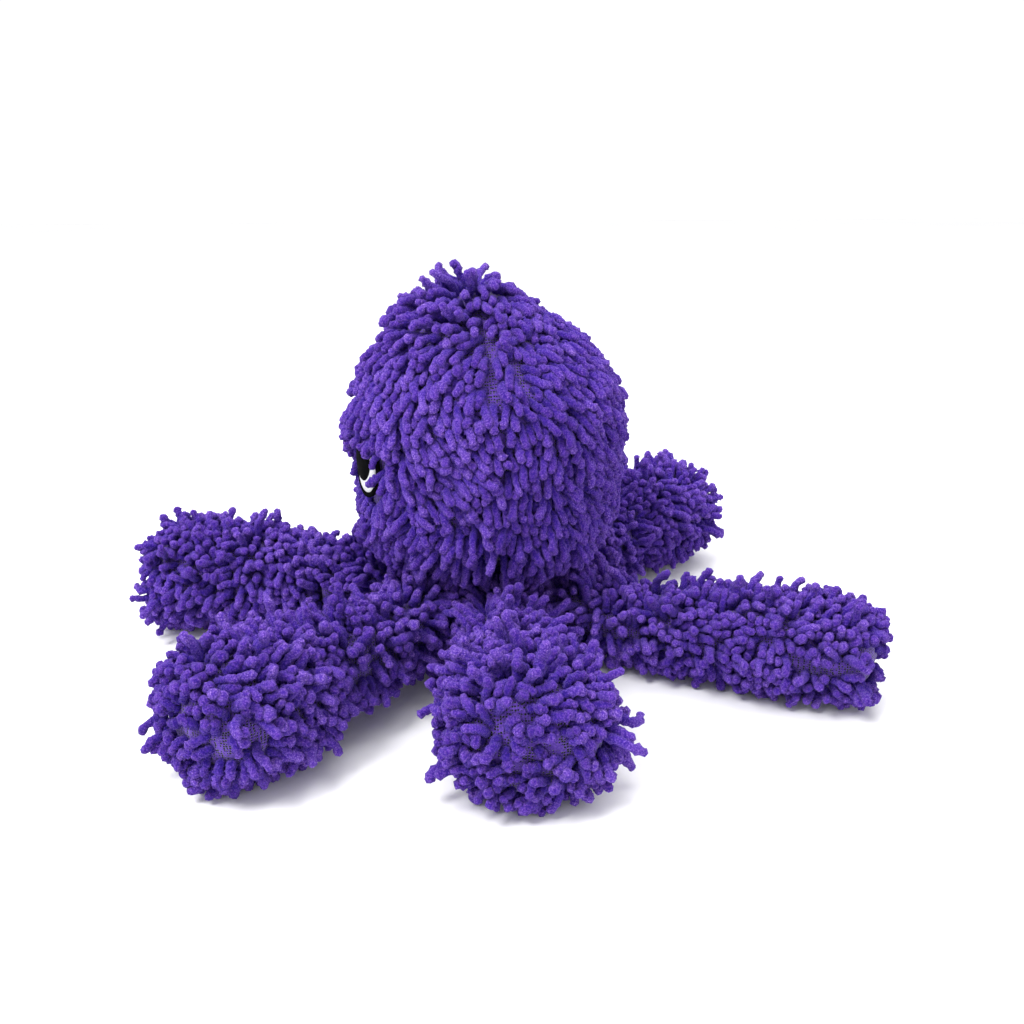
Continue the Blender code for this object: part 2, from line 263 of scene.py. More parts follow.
class Turned:
    """A soft body of revolution: (along, radius) profile, an axis frame, a flattening and a lean."""

    def __init__(self, profile, matrix, flatten=1.0, lean=None):
        self.profile = np.array(profile, float)
        self.matrix = np.array(matrix, float)
        self.flatten = flatten
        self.lean = lean

    def shift(self, along):
        """How far the axis leans aside at each place along it."""
        if self.lean is None:
            return np.zeros_like(along)
        return np.interp(along, self.lean[:, 0], self.lean[:, 1])

    def resampled(self, spacing):
        """(along, radius, normal along, normal across) at equal steps along the profile."""
        steps = np.hypot(*np.diff(self.profile, axis=0).T)
        travel = np.concatenate([[0.0], np.cumsum(steps)])
        count = max(int(travel[-1] / spacing), 2)
        wanted = np.linspace(0.0, travel[-1], count + 1)
        along = np.interp(wanted, travel, self.profile[:, 0])
        radius = np.interp(wanted, travel, self.profile[:, 1])
        tangent_along = np.gradient(along)
        tangent_across = np.gradient(radius)
        length = np.hypot(tangent_along, tangent_across)
        return along, radius, -tangent_across / length, tangent_along / length

    def to_world(self, local):
        return local @ self.matrix[:3, :3].T + self.matrix[:3, 3]

    def to_local(self, points):
        return (points - self.matrix[:3, 3]) @ self.matrix[:3, :3]

    def place(self, along, radius, angle):
        """Points on the form: how far along it, how far from its axis, and at which turn."""
        across = radius * np.cos(angle)
        other = radius * np.sin(angle) * self.flatten + self.shift(along)
        return self.to_world(np.stack([across, other, along], axis=-1))

    def normals(self, normal_along, normal_across, angle):
        local = np.stack(
            [
                normal_across * np.cos(angle),
                normal_across * np.sin(angle) / self.flatten,
                normal_along * np.ones_like(angle),
            ],
            axis=-1,
        )
        return unit(local) @ self.matrix[:3, :3].T

    def push_out(self, points, margin):
        """How far and which way each point has to move to stand margin off the surface."""
        local = self.to_local(points)
        along = local[:, 2]
        across = local[:, 0]
        other = (local[:, 1] - self.shift(along)) / self.flatten
        radius = np.hypot(across, other)
        profile_along, profile_radius, n_along, n_across = self.dense
        surface = np.interp(along, profile_along, profile_radius, left=-1.0, right=-1.0)
        slope = np.interp(along, profile_along, n_across)
        gap = (surface - radius) * np.maximum(slope, LEAST_SLOPE) + margin
        inside = (gap > 0) & (surface > 0)
        angle = np.arctan2(other, across)
        normal = self.normals(np.interp(along, profile_along, n_along), slope, angle)
        return np.where(inside[:, None], normal * gap[:, None], 0.0)

    def finish(self):
        along, radius, n_along, n_across = self.resampled(DENSE_STEP)
        keep = np.concatenate([[True], np.diff(along) > 1e-6])
        self.dense = (along[keep], radius[keep], n_along[keep], n_across[keep])
        return self


def blunt(start, end, radius, exponent, count):
    """A rounded end from full radius at start to the pole at end."""
    points = []
    for step in range(1, count + 1):
        turn = 0.5 * math.pi * step / count
        out = math.sin(turn) ** (2 / exponent)
        across = max(math.cos(turn), 0.0) ** (2 / exponent)
        points.append((start + (end - start) * out, radius * across))
    return points


def arm_shape(name):
    """The knitted skin of one arm, inside its CAD covers, and where its two hinges are."""
    joints = {joint["name"]: joint for joint in frame["joints"]}
    root = Vector(joints["lift_" + name]["pos_m"])
    sway = Vector(joints["sway_" + name]["pos_m"])
    out = Vector((root.x, root.y, 0.0)).normalized()
    side = Vector((0.0, 0.0, 1.0)).cross(out)
    matrix = Matrix((side, Vector((0.0, 0.0, 1.0)), out)).transposed().to_4x4()
    matrix.translation = Vector((0.0, 0.0, root.z))

    outer = world_points(f"arm_{name}_outer_top")
    inner = world_points(f"arm_{name}_inner_top")
    reach = (outer @ np.array(out)).max()
    tip_half = np.abs(outer @ np.array(side)).max()
    near_root = inner[np.abs(inner @ np.array(out) - root.xy.length) < BAND]
    near_sway = outer[np.abs(outer @ np.array(out) - sway.xy.length) < BAND]
    root_half = np.abs(near_root @ np.array(side)).max()
    sway_half = np.abs(near_sway @ np.array(side)).max()
    flatten = (outer[:, 2].max() - root.z) / tip_half

    root_reach = root.xy.length
    tip_radius = tip_half - ARM_PILE + PLUMPER_TIP.get(name, 0.0)
    root_radius = root_half - ROOT_PILE
    end = reach - ARM_PILE - SHORTER_TIP.get(name, 0.0)
    profile = [(root_reach - behind, root_radius * share) for behind, share in ROOT_STEPS]
    profile += [(sway.xy.length, sway_half - ARM_PILE)]
    profile += [(end - before, tip_radius * share) for before, share in TIP_STEPS]
    profile += blunt(end - TIP_ROUNDING, end, tip_radius, TIP_SQUARENESS, TIP_RINGS)
    shape = Turned(profile, matrix, flatten).finish()
    shape.name = name
    shape.out = np.array(out)
    shape.root_reach = root_reach
    shape.sway_reach = sway.xy.length
    shape.split = 0.5 * (root_reach + sway.xy.length)
    shape.end = end
    return shape


def head_shape():
    """The knitted skin of the head, read from the CAD covers by looking in from all sides."""
    graph = bpy.context.evaluated_depsgraph_get()
    covers = [frame["nodes"]["head_cover_" + gore] for gore in GORE_NAMES]
    trees = [BVHTree.FromObject(cover, graph) for cover in covers]
    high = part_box("head_cover_back_left")[1].z
    profile = []
    lean = []
    turns = [LOOK_BESIDE_SEAM, math.pi - LOOK_BESIDE_SEAM]
    turns += [0.5 * math.pi + LOOK_BESIDE_SEAM, 1.5 * math.pi + LOOK_BESIDE_SEAM]
    for height in np.linspace(HEAD_FIRST_LEVEL, high - HEAD_LAST_LEVEL, HEAD_LEVELS):
        edges = []
        for angle in turns:
            out = Vector((math.cos(angle), math.sin(angle), 0.0))
            outside = Vector((0.0, 0.0, height)) + out * LOOK_FROM
            hits = [tree.ray_cast(outside, -out)[0] for tree in trees]
            edges.append(max([hit.dot(out) for hit in hits if hit is not None] + [0.0]))
        lean.append((height, 0.5 * (edges[2] - edges[3])))
        profile.append((height, 0.25 * sum(edges)))
    profile = np.array(profile)
    tangent = unit(np.gradient(profile, axis=0))
    inner = profile + HEAD_PILE * np.stack([tangent[:, 1], -tangent[:, 0]], axis=-1)
    inner = inner[inner[:, 1] > CROWN_RADIUS]
    keep = np.concatenate([[True], np.diff(np.maximum.accumulate(inner[:, 0])) > 0])
    inner = inner[keep]
    top = inner[-1, 0] + CROWN_RISE
    full = [(HEAD_BOTTOM, 0.0), (HEAD_BOTTOM, inner[0, 1])] + [tuple(p) for p in inner] + [(top, 0.0)]
    shape = Turned(full, Matrix.Identity(4), 1.0, np.array(lean)).finish()
    shape.top = top
    return shape


def base_shape():
    """The base panel: a flat pillow of backing with a rolled edge."""
    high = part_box("base_panel")[1]
    profile = [(BASE_SIDES[0][0] * high.z, 0.0)]
    profile += [(up * high.z, out * high.x) for up, out in BASE_SIDES]
    return Turned(profile + [(BASE_CROWN * high.z, 0.0)], Matrix.Identity(4)).finish()


# ---------------------------------------------------------------- pile


def rows_on(shape, spacing):
    """Roots in staggered rows over a turned shape: points, normals, tangents and (along, angle)."""
    along, radius, n_along, n_across = shape.resampled(spacing)
    points, normals, tangents, places = [], [], [], []
    for row in range(len(along)):
        girth = 2 * math.pi * radius[row] * 0.5 * (1 + shape.flatten)
        count = max(int(round(girth / (spacing * SIDE_BY_SIDE))), 1)
        angle = (np.arange(count) + 0.5 * (row % 2)) * 2 * math.pi / count
        angle = angle + RANDOM.normal(0.0, SCATTER, count) * 2 * math.pi / count
        here = along[row] + RANDOM.normal(0.0, SCATTER, count) * spacing * abs(n_across[row])
        wide = radius[row] + RANDOM.normal(0.0, SCATTER, count) * spacing * -n_along[row]
        points.append(shape.place(here, np.maximum(wide, 0.0), angle))
        normals.append(shape.normals(n_along[row], n_across[row], angle))
        tangents.append(shape.normals(n_across[row], -n_along[row], angle))
        places.append(np.stack([here, angle], axis=-1))
    return [np.concatenate(rows) for rows in (points, normals, tangents, places)]


def wander(points, wavelength, seed):
    """A smooth field from -1 to 1 over space, made of a few waves."""
    waves = np.random.default_rng(seed)
    total = np.zeros(len(points))
    for _ in range(4):
        direction = unit(waves.normal(size=3)) * 2 * math.pi / (wavelength * waves.uniform(0.7, 1.4))
        total += np.sin(points @ direction + waves.uniform(0, 2 * math.pi))
    return np.clip(total / 2.2, -1, 1)


def flow(points, wavelength, seed):
    """A smooth field of directions over space, from four waves for each component."""
    return np.stack([wander(points, wavelength, seed + axis) for axis in range(3)], axis=-1)


def along_surface(vectors, normals):
    return unit(vectors - normals * (vectors * normals).sum(1, keepdims=True))


class Pile:
    """All noodles of the toy: roots, first guesses of their bends, and the piece each belongs to."""

    def __init__(self):
        self.parts = []

    def add(self, piece, points, normals, combed, tilt, droop, length, stray):
        self.parts.append(
            {
                "piece": piece,
                "root": points,
                "normal": normals,
                "comb": combed,
                "tilt": tilt,
                "droop": droop,
                "length": length,
                "stray": stray,
            }
        )

    def gather(self):
        keys = self.parts[0].keys()
        return {key: np.concatenate([part[key] for part in self.parts]) for key in keys}


def shape_beads(data):
    """First places of each noodle's beads: up from the backing, then over along the comb."""
    beads = [data["root"]]
    count = len(data["root"])
    step = (data["length"] - NOODLE_RADIUS) / BEADS
    down = np.array([0.0, 0.0, -1.0])
    curl = unit(RANDOM.normal(size=(count, 3))) * (NOODLE_CURL * RANDOM.random((count, 1)))
    kink = RANDOM.normal(0.0, NOODLE_KINK, (BEADS + 1, count, 3))
    for index in range(1, BEADS + 1):
        share = index / BEADS
        tilt = data["tilt"] * (LEAN_AT_ROOT + LEAN_GROWTH * share)
        direction = data["normal"] * np.cos(tilt)[:, None] + data["comb"] * np.sin(tilt)[:, None]
        direction = direction + down * (data["droop"] * share)[:, None]
        direction = unit(direction + curl * (share - CURL_START) * CURL_GROWTH + kink[index] * share)
        beads.append(beads[-1] + direction * step[:, None])
    return np.stack(beads, axis=1), step


def close_pairs(points, owner, reach):
    """Pairs of points of different noodles nearer than reach, found on a grid."""
    cell = np.floor(points / reach).astype(np.int64)
    cell -= cell.min(0)
    size = cell.max(0) + 3
    key = ((cell[:, 0] + 1) * size[1] + cell[:, 1] + 1) * size[2] + cell[:, 2] + 1
    order = np.argsort(key, kind="stable")
    ranked = key[order]
    found = []
    offsets = [(x, y, z) for x in (-1, 0, 1) for y in (-1, 0, 1) for z in (-1, 0, 1)]
    for x, y, z in offsets:
        offset = (x * size[1] + y) * size[2] + z
        if offset < 0:
            continue
        low = np.searchsorted(ranked, key + offset, "left")
        high = np.searchsorted(ranked, key + offset, "right")
        for extra in range(int((high - low).max()) if len(low) else 0):
            has = low + extra < high
            first = np.nonzero(has)[0]
            second = order[low[has] + extra]
            fine = (owner[first] != owner[second]) & ((offset > 0) | (first < second))
            first, second = first[fine], second[fine]
            near = ((points[first] - points[second]) ** 2).sum(1) < reach * reach
            found.append(np.stack([first[near], second[near]]))
    return np.concatenate(found, axis=1)


def settle(data, shapes, eyes):
    """Noodles push each other aside until they lie packed, off the skins and above the floor."""
    beads, step = shape_beads(data)
    count = len(beads)
    owner = np.repeat(np.arange(count), BEADS)
    weight = np.tile(np.linspace(ROOT_WEIGHT, 1.0, BEADS), count)
    goal = beads[:, 1:] - beads[:, :-1]
    touch = 2 * NOODLE_RADIUS * SQUEEZE
    pairs = None
    for turn in range(SETTLE_ROUNDS):
        loose = beads[:, 1:].reshape(-1, 3)
        if turn % ROUNDS_PER_SEARCH == 0:
            pairs = close_pairs(loose, owner, touch + SEARCH_MARGIN)
        first, second = pairs
        apart = loose[first] - loose[second]
        distance = np.linalg.norm(apart, axis=1)
        overlap = np.maximum(touch - distance, 0.0)
        push = apart / np.maximum(distance, 1e-6)[:, None] * (PUSH_SHARE * overlap)[:, None]
        share = weight[first] / (weight[first] + weight[second])
        move = np.zeros_like(loose)
        for axis in range(3):
            move[:, axis] += np.bincount(first, push[:, axis] * 2 * share, len(loose))
            move[:, axis] -= np.bincount(second, push[:, axis] * 2 * (1 - share), len(loose))
        length = np.linalg.norm(move, axis=1)
        move *= np.minimum(1.0, LONGEST_MOVE / np.maximum(length, 1e-9))[:, None]
        loose = loose + move
        for shape in shapes:
            loose = loose + shape.push_out(loose, NOODLE_RADIUS * SKIN_MARGIN)
        for eye in eyes:
            loose = loose + eye.push_aside(loose, np.repeat(data["stray"], BEADS))
        loose[:, 2] = np.maximum(loose[:, 2], NOODLE_RADIUS * FLOOR_MARGIN)
        loose = loose.reshape(count, BEADS, 3)
        for index in range(BEADS):
            before = beads[:, 0] if index == 0 else loose[:, index - 1]
            along = loose[:, index] - before
            along = along + STIFFNESS * (goal[:, index] - along)
            loose[:, index] = before + unit(along) * step[:, None]
        loose[..., 2] = np.maximum(loose[..., 2], NOODLE_RADIUS * FLOOR_MARGIN_AFTER)
        beads[:, 1:] = loose
    return beads


def smooth_line(beads, count):
    """Catmull-Rom points through each noodle's beads, and the share of the length at each."""
    first = 2 * beads[:, :1] - beads[:, 1:2]
    last = 2 * beads[:, -1:] - beads[:, -2:-1]
    knots = np.concatenate([first, beads, last], axis=1)
    shares = np.linspace(0.0, 1.0, count)
    places = shares * BEADS
    index = np.minimum(places.astype(int), BEADS - 1)
    t = (places - index)[None, :, None]
    p0, p1, p2, p3 = (knots[:, index + k] for k in range(4))
    line = 0.5 * (
        2 * p1
        + (p2 - p0) * t
        + (2 * p0 - 5 * p1 + 4 * p2 - p3) * t * t
        + (3 * p1 - p0 - 3 * p2 + p3) * t * t * t
    )
    return line, shares


def tube_faces(count):
    """Vertex indices and corner counts of the faces of all noodles: quads along, fans at the ends."""
    per = RINGS * SIDES + 2
    quads, fans = [], []
    for ring in range(RINGS - 1):
        row, above = ring * SIDES, (ring + 1) * SIDES
        for side in range(SIDES):
            after = (side + 1) % SIDES
            quads.append([row + side, row + after, above + after, above + side])
    last = (RINGS - 1) * SIDES
    for side in range(SIDES):
        after = (side + 1) % SIDES
        fans.append([per - 2, after, side])
        fans.append([per - 1, last + side, last + after])
    base = (np.arange(count) * per)[:, None, None]
    parts = [(np.array(faces)[None] + base).reshape(count, -1) for faces in (quads, fans)]
    sizes = np.concatenate([np.full(len(quads), 4), np.full(len(fans), 3)])
    return np.concatenate(parts, axis=1), np.tile(sizes, count)


def noodle_mesh(name, beads, lengths, shade, material):
    """One mesh of closed, lumpy, round-ended noodles, with their shade and their place along it."""
    count = len(beads)
    line, shares = smooth_line(beads, RINGS)
    tangent = unit(np.gradient(line, axis=1))
    frames = [unit(np.cross(tangent[:, 0], np.array(ANY_DIRECTION)))]
    for ring in range(1, RINGS):
        moved = frames[-1] - tangent[:, ring] * (frames[-1] * tangent[:, ring]).sum(1, keepdims=True)
        frames.append(unit(moved))
    across = np.stack(frames, axis=1)
    other = np.cross(tangent, across)

    radius = NOODLE_RADIUS * RANDOM.normal(1.0, THICKNESS_SPREAD, count)[:, None] * np.ones(RINGS)
    phase = RANDOM.uniform(0, 2 * math.pi, (count, 1))
    waves = lengths[:, None] / LUMP_LENGTH * 2 * math.pi * shares
    lumps = 1 + LUMP_HEIGHT * np.sin(waves + phase) + RANDOM.normal(0, RING_SPREAD, (count, RINGS))
    radius = radius * lumps
    radius[:, 0] *= ROOT_NARROWING
    radius[:, -1] *= TIP_NARROWING
    angle = np.arange(SIDES) * 2 * math.pi / SIDES
    twist = RANDOM.uniform(0, 2 * math.pi, (count, 1, 1)) + TWIST * np.arange(RINGS)[None, :, None]
    turn = angle + twist
    rough = 1 + RANDOM.normal(0, ROUGHNESS, (count, RINGS, SIDES))
    wide = (radius[:, :, None] * rough)[..., None]
    ring_points = line[:, :, None] + wide * (
        np.cos(turn)[..., None] * across[:, :, None] + np.sin(turn)[..., None] * other[:, :, None]
    )
    start = line[:, :1] - tangent[:, :1] * (ROOT_BULGE * radius[:, :1, None])
    end = line[:, -1:] + tangent[:, -1:] * (TIP_BULGE * radius[:, -1:, None])
    points = np.concatenate([ring_points.reshape(count, -1, 3), start, end], axis=1)
    points[..., 2] = np.maximum(points[..., 2], ABOVE_FLOOR)

    per = points.shape[1]
    loops, sizes = tube_faces(count)
    starts = np.concatenate([[0], np.cumsum(sizes)[:-1]])
    mesh = bpy.data.meshes.new(name)
    mesh.vertices.add(count * per)
    mesh.vertices.foreach_set("co", points.astype(np.float32).ravel())
    mesh.loops.add(loops.size)
    mesh.loops.foreach_set("vertex_index", loops.astype(np.int32).ravel())
    mesh.polygons.add(len(sizes))
    mesh.polygons.foreach_set("loop_start", starts.astype(np.int32))
    mesh.update(calc_edges=True)
    mesh.validate()
    along = np.concatenate([np.repeat(shares, SIDES), [0.0, 1.0]])
    write_attribute(mesh, "noodle_along", np.tile(along, count))
    write_attribute(mesh, "noodle_shade", np.repeat(shade, per))
    unwrap_noodles(mesh, count)
    return shown(name, mesh, material)


def unwrap_noodles(mesh, count):
    """A flat map of the pile: each noodle slit along its side and laid in its own square of a grid."""
    levels = np.linspace(MAP_CAP, 1 - MAP_CAP, RINGS)
    corners = []
    for low, high in zip(levels, levels[1:]):
        for side in range(SIDES):
            corners += [(side, low), (side + 1, low), (side + 1, high), (side, high)]
    for side in range(SIDES):
        corners += [(side + 0.5, 0.0), (side + 1, levels[0]), (side, levels[0])]
        corners += [(side + 0.5, 1.0), (side, levels[-1]), (side + 1, levels[-1])]
    corners = np.array(corners) / np.array([SIDES, 1.0])
    across = math.ceil(math.sqrt(count))
    index = np.arange(count)
    square = np.stack([index % across, index // across], axis=-1)
    places = (square[:, None] + MAP_MARGIN + (1 - 2 * MAP_MARGIN) * corners[None]) / across
    layer = mesh.uv_layers.new(name="OFBake")
    layer.data.foreach_set("uv", places.astype(np.float32).ravel())


def write_attribute(mesh, name, values):
    attribute = mesh.attributes.new(name, "FLOAT", "POINT")
    attribute.data.foreach_set("value", values.astype(np.float32))


def shown(name, mesh, material):
    """The mesh as a smooth piece of the scene."""
    mesh.shade_smooth()
    mesh.materials.append(material)
    piece = bpy.data.objects.new(name, mesh)
    bpy.context.scene.collection.objects.link(piece)
    return piece


# ---------------------------------------------------------------- eyes


class Eye:
    """An eye's place: its middle, and its level, upward and outward directions."""

    def __init__(self, side):
        self.side = side
        self.name = "left" if side > 0 else "right"
        self.radius, self.centre = disc_place(f"eye_{self.name}_outline")
        self.out = unit(np.array([self.centre[0], self.centre[1], 0.0]))
        self.up = np.array([0.0, 0.0, 1.0])
        self.level = np.cross(self.up, self.out)

    def flat(self, points):
        offset = points - self.centre
        return offset @ self.level, offset @ self.up, offset @ self.out

    def push_aside(self, points, stray):
        """Noodles slide off the eye's face, and the stray ones are held over it."""
        across, up, out = self.flat(points)
        distance = np.maximum(np.hypot(across, up), 1e-6)
        reach = self.radius - EYE_OVERHANG
        over = (distance < reach) & (out > -EYE_DEPTH)
        gap = np.minimum(np.where(over & ~stray, reach - distance, 0.0), EYE_LONGEST_MOVE)
        way = (across / distance)[:, None] * self.level + (up / distance)[:, None] * self.up
        lift = np.where(over & (out < STRAY_HEIGHT) & stray, STRAY_HEIGHT - out, 0.0)
        return way * (EYE_PUSH * gap)[:, None] + self.out * (STRAY_PUSH * lift)[:, None]


def disc_place(name):
    """The radius and the middle of an upright disc of the CAD."""
    low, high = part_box(name)
    return 0.5 * (high.z - low.z), np.array((low + high) / 2)


def disc(name, eye, radius, form, offset, material):
    """A domed, stitched disc that follows the head's curve."""
    thick, dome, raise_by = form
    bm = bmesh.new()
    turns = [2 * math.pi * index / DISC_SEGMENTS for index in range(DISC_SEGMENTS)]

    def point(across, up, out):
        across += offset[0]
        up += offset[1]
        out -= EYE_BEND * across * across
        return bm.verts.new(eye.centre + eye.level * across + eye.up * up + eye.out * (out + raise_by))

    top = point(0.0, 0.0, thick + dome)
    rows = []
    for ring in range(1, DISC_RINGS + 1):
        share = ring / DISC_RINGS
        height = thick * (1 - share**10) ** 0.5 + dome * (1 - share**2)
        wide = radius * share
        rows.append([point(wide * math.cos(turn), wide * math.sin(turn), height) for turn in turns])
    wide = radius * DISC_FOOT
    under = [point(wide * math.cos(turn), wide * math.sin(turn), -DISC_SINK) for turn in turns]
    bottom = point(0.0, 0.0, -DISC_SINK)
    for segment in range(DISC_SEGMENTS):
        after = (segment + 1) % DISC_SEGMENTS
        bm.faces.new([top, rows[0][segment], rows[0][after]])
        for inner, outer in zip(rows, rows[1:]):
            bm.faces.new([inner[segment], outer[segment], outer[after], inner[after]])
        bm.faces.new([rows[-1][segment], under[segment], under[after], rows[-1][after]])
        bm.faces.new([under[segment], bottom, under[after]])
    return finish_bmesh(name, bm, material)


def stitched_ring(name, eye, radius, width, height, material):
    """A satin-stitched border: a padded band with its stitches across it."""
    bm = bmesh.new()
    rows = []
    for index in range(STITCHES * 2):
        turn = math.pi * index / STITCHES
        swell = 1 + STITCH_RIDGE * (index % 2) + STITCH_WAVE * math.sin(7 * turn)
        row = []
        for step in range(BORDER_SIDES):
            around = 2 * math.pi * step / BORDER_SIDES
            reach = radius + 0.5 * width * math.cos(around) * swell
            out = max(0.5 * height * math.sin(around) * swell, -0.25 * height)
            across, up = reach * math.cos(turn), reach * math.sin(turn)
            out -= EYE_BEND * across * across
            row.append(bm.verts.new(eye.centre + eye.level * across + eye.up * up + eye.out * out))
        rows.append(row)
    for index, row in enumerate(rows):
        following = rows[(index + 1) % len(rows)]
        for step in range(BORDER_SIDES):
            after = (step + 1) % BORDER_SIDES
            bm.faces.new([row[step], row[after], following[after], following[step]])
    return finish_bmesh(name, bm, material)


def finish_bmesh(name, bm, material):
    bmesh.ops.recalc_face_normals(bm, faces=bm.faces)
    mesh = bpy.data.meshes.new(name)
    bm.to_mesh(mesh)
    bm.free()
    return shown(name, mesh, material)


# ---------------------------------------------------------------- materials


def srgb(red, green, blue):
    def linear(channel):
        value = channel / 255
        return value / 12.92 if value <= 0.04045 else ((value + 0.055) / 1.055) ** 2.4

    return (linear(red), linear(green), linear(blue), 1.0)


class Nodes:
    """A short way to write a node tree."""

    def __init__(self, name):
        self.material = bpy.data.materials.new(name)
        self.material.use_nodes = True
        self.tree = self.material.node_tree
        self.shader = self.tree.nodes["Principled BSDF"]
        self.coordinates = self.tree.nodes.new("ShaderNodeTexCoord").outputs["Object"]

    def new(self, kind, inputs=None, **settings):
        node = self.tree.nodes.new("ShaderNode" + kind)
        for key, value in settings.items():
            setattr(node, key, value)
        for key, value in (inputs or {}).items():
            if isinstance(value, bpy.types.NodeSocket):
                self.tree.links.new(value, node.inputs[key])
            else:
                node.inputs[key].default_value = value
        return node

    def link(self, source, name):
        self.tree.links.new(source, self.shader.inputs[name])

    def noise(self, scale, detail=2.0, rough=0.5):
        inputs = {"Vector": self.coordinates, "Scale": scale, "Detail": detail, "Roughness": rough}
        return self.new("TexNoise", inputs).outputs["Fac"]

    def cells(self, scale, randomness):
        inputs = {"Vector": self.coordinates, "Scale": scale, "Randomness": randomness}
        return self.new("TexVoronoi", inputs).outputs["Distance"]

    def ramp(self, factor, stops):
        made = self.new("ValToRGB", {"Fac": factor})
        elements = made.color_ramp.elements
        while len(elements) < len(stops):
            elements.new(0.5)
        for element, (place, colour) in zip(elements, stops):
            element.position = place
            element.color = colour
        return made.outputs["Color"]

    def maths(self, operation, first, second):
        return self.new("Math", {0: first, 1: second}, operation=operation).outputs[0]

    def mix(self, factor, first, second, blend="MIX"):
        made = self.new("Mix", data_type="RGBA", blend_type=blend)
        for index, value in ((0, factor), (6, first), (7, second)):
            if isinstance(value, bpy.types.NodeSocket):
                self.tree.links.new(value, made.inputs[index])
            else:
                made.inputs[index].default_value = value
        return made.outputs[2]

    def bump(self, height, strength, distance):
        made = self.new("Bump", {"Height": height, "Strength": strength, "Distance": distance})
        self.link(made.outputs["Normal"], "Normal")

    def attribute(self, name):
        return self.new("Attribute", attribute_name=name).outputs["Fac"]

    def set(self, **values):
        for key, value in values.items():
            self.shader.inputs[key.replace("_", " ")].default_value = value


def chenille():
    """Fuzzy split microfibre: painted shade darkens the roots and painted highlight lightens the tips;
    finely mottled, the mottle's light specks being painted glints and its dark specks painted shade
    between the fibres; with a soft sheen.
    """
    nodes = Nodes("chenille_pile")
    shades = [(0.0, srgb(80, 42, 160)), (0.5, srgb(97, 58, 178)), (1.0, srgb(119, 81, 196))]
    # Along each noodle: painted shade, darkest at the root where the pile shades it, and a painted
    # highlight at the tip
    painted_root_shade_tip_highlight = [(0.0, (0.25, 0.15, 0.62, 1)), (0.45, (0.62, 0.52, 0.88, 1)), (0.9, (1.14, 1.14, 1.05, 1))]
    # yarns: fine mottle of the fibres, random in place; its light end is a painted glint on the fibres,
    # its dark end painted shade between them
    yarns = [(0.0, (2.3, 3.1, 1.5, 1)), (0.30, (1.10, 1.14, 1.04, 1)), (0.70, (0.38, 0.28, 0.70, 1))]
    body = nodes.ramp(nodes.attribute("noodle_shade"), shades)
    depth = nodes.ramp(nodes.attribute("noodle_along"), painted_root_shade_tip_highlight)
    body = nodes.mix(1.0, body, depth, "MULTIPLY")
    cells = nodes.cells(1550.0, 1.0)
    streaks = nodes.noise(1300.0, 4.0, 0.8)
    both = nodes.maths("ADD", nodes.maths("MULTIPLY", cells, 0.9), nodes.maths("MULTIPLY", streaks, 1.9))
    loops = nodes.maths("SUBTRACT", both, 0.92)
    nodes.link(nodes.mix(1.0, body, nodes.ramp(loops, yarns), "MULTIPLY"), "Base Color")
    nodes.bump(nodes.maths("SUBTRACT", nodes.noise(800.0, 2.0, 0.6), loops), 1.0, 0.0006)
    nodes.set(Roughness=0.95, Sheen_Weight=0.40, Sheen_Roughness=0.4, Sheen_Tint=srgb(184, 154, 255))
    nodes.set(Specular_IOR_Level=0.15)
    return nodes.material


def netting():
    """Open knitted backing: a honeycomb of small holes, painted near-black as the shade inside them,
    between violet yarns.
    """
    nodes = Nodes("knitted_backing")
    holes = nodes.ramp(nodes.cells(1050.0, 0.35), [(0.30, (0, 0, 0, 1)), (0.46, (1, 1, 1, 1))])
    yarn = nodes.ramp(nodes.noise(1400.0, 3.0), [(0.3, srgb(70, 42, 138)), (0.7, srgb(104, 72, 176))])
    # The holes' near-black colour is painted shade: the dark seen through the knit
    nodes.link(nodes.mix(holes, srgb(14, 8, 30), yarn), "Base Color")
    nodes.bump(holes, 0.9, 0.0005)
    nodes.set(Roughness=0.9, Sheen_Weight=0.3, Specular_IOR_Level=0.15)
    return nodes.material


def thread(name, colour, dark):
    """Satin-stitched thread: fine parallel ridges with a silky gloss, and painted shade in the grooves
    between them.
    """
    nodes = Nodes(name)
    waves = {"Scale": 700.0, "Distortion": 1.6, "Detail": 2.0, "Detail Scale": 3.0}
    rows = nodes.new("TexWave", {"Vector": nodes.coordinates, **waves}, bands_direction="Z")
    # dark: painted shade in the grooves between the stitch ridges
    fine = nodes.ramp(rows.outputs["Fac"], [(0.0, dark), (0.6, colour)])
    mottle = nodes.ramp(nodes.noise(900.0, 2.0), [(0.3, (0.86, 0.86, 0.86, 1)), (0.7, (1, 1, 1, 1))])
    nodes.link(nodes.mix(1.0, fine, mottle, "MULTIPLY"), "Base Color")
    nodes.bump(rows.outputs["Fac"], 0.7, 0.0003)
    nodes.set(Roughness=0.85, Specular_IOR_Level=0.03)
    return nodes.material


def vinyl():
    """Thin moulded vinyl with a faint orange-peel surface."""
    nodes = Nodes("squeaker_vinyl")
    peel = nodes.noise(520.0, 2.0)
    tones = [(0.3, srgb(214, 211, 199)), (0.7, srgb(232, 230, 220))]
    nodes.link(nodes.ramp(peel, tones), "Base Color")
    nodes.bump(peel, 0.25, 0.0004)
    nodes.set(Roughness=0.42)
    return nodes.material


def floor_material():
    nodes = Nodes("studio_floor")
    tones = [(0.3, (0.93, 0.93, 0.935, 1)), (0.7, (0.95, 0.95, 0.95, 1))]
    nodes.link(nodes.ramp(nodes.noise(3.0, 2.0), tones), "Base Color")
    nodes.set(Roughness=0.85, Specular_IOR_Level=0.1)
    return nodes.material


# ---------------------------------------------------------------- skins


